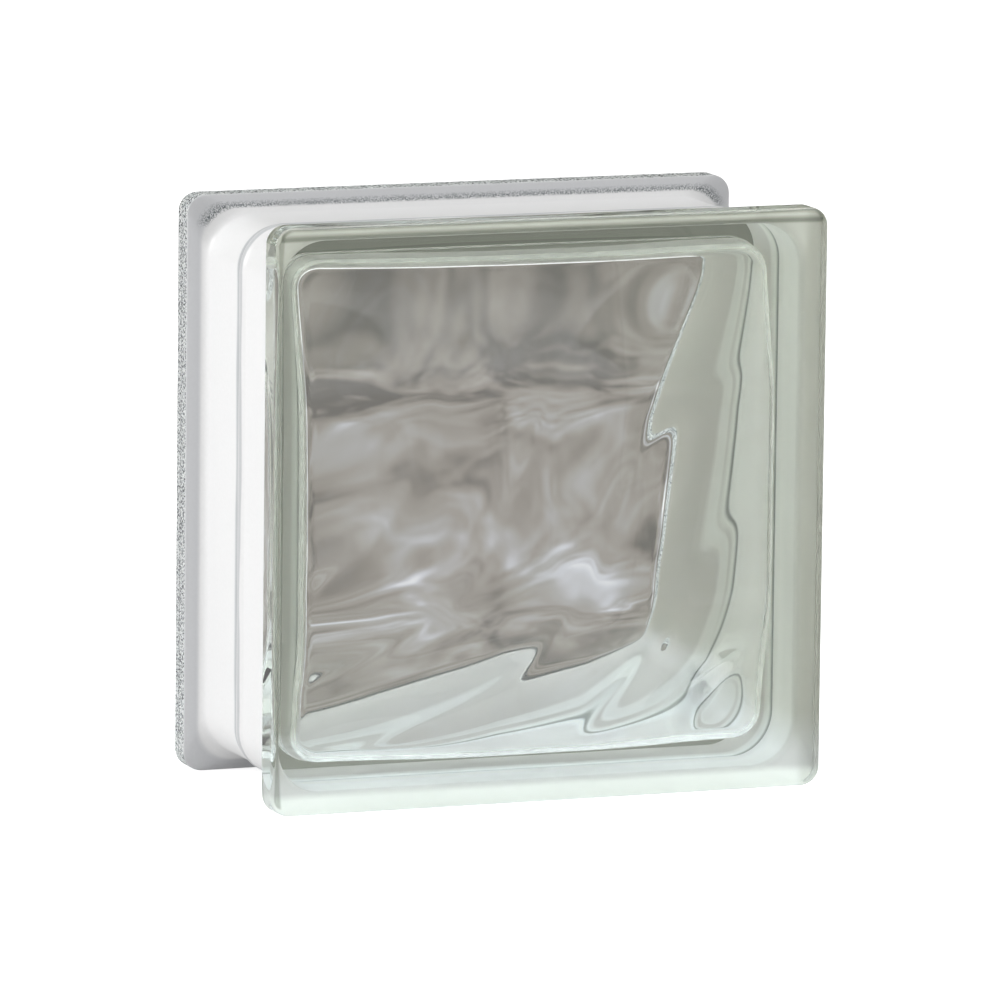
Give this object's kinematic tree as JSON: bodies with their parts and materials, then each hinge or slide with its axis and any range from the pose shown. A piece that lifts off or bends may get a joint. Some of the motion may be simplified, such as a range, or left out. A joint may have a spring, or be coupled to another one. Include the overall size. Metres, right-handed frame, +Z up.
{
  "type": "glass block",
  "caption": "Hollow pressed glass block with wavy inner panes, square flanges and a recessed mortar channel all round, for walls and partitions that let daylight through.",
  "frame": {"origin": "middle of the block's footprint, on the floor that its lower flange edges stand on", "axes": "+X along the width of the face, +Y through the depth from the front face to the back face, +Z up"},
  "size_m": [0.197, 0.098, 0.197],
  "materials": {
    "glass": "clear pressed soda lime glass with a slight green tint"
  },
  "bodies": {
    "root": {"glass_block": "glass"}
  },
  "joints": []
}
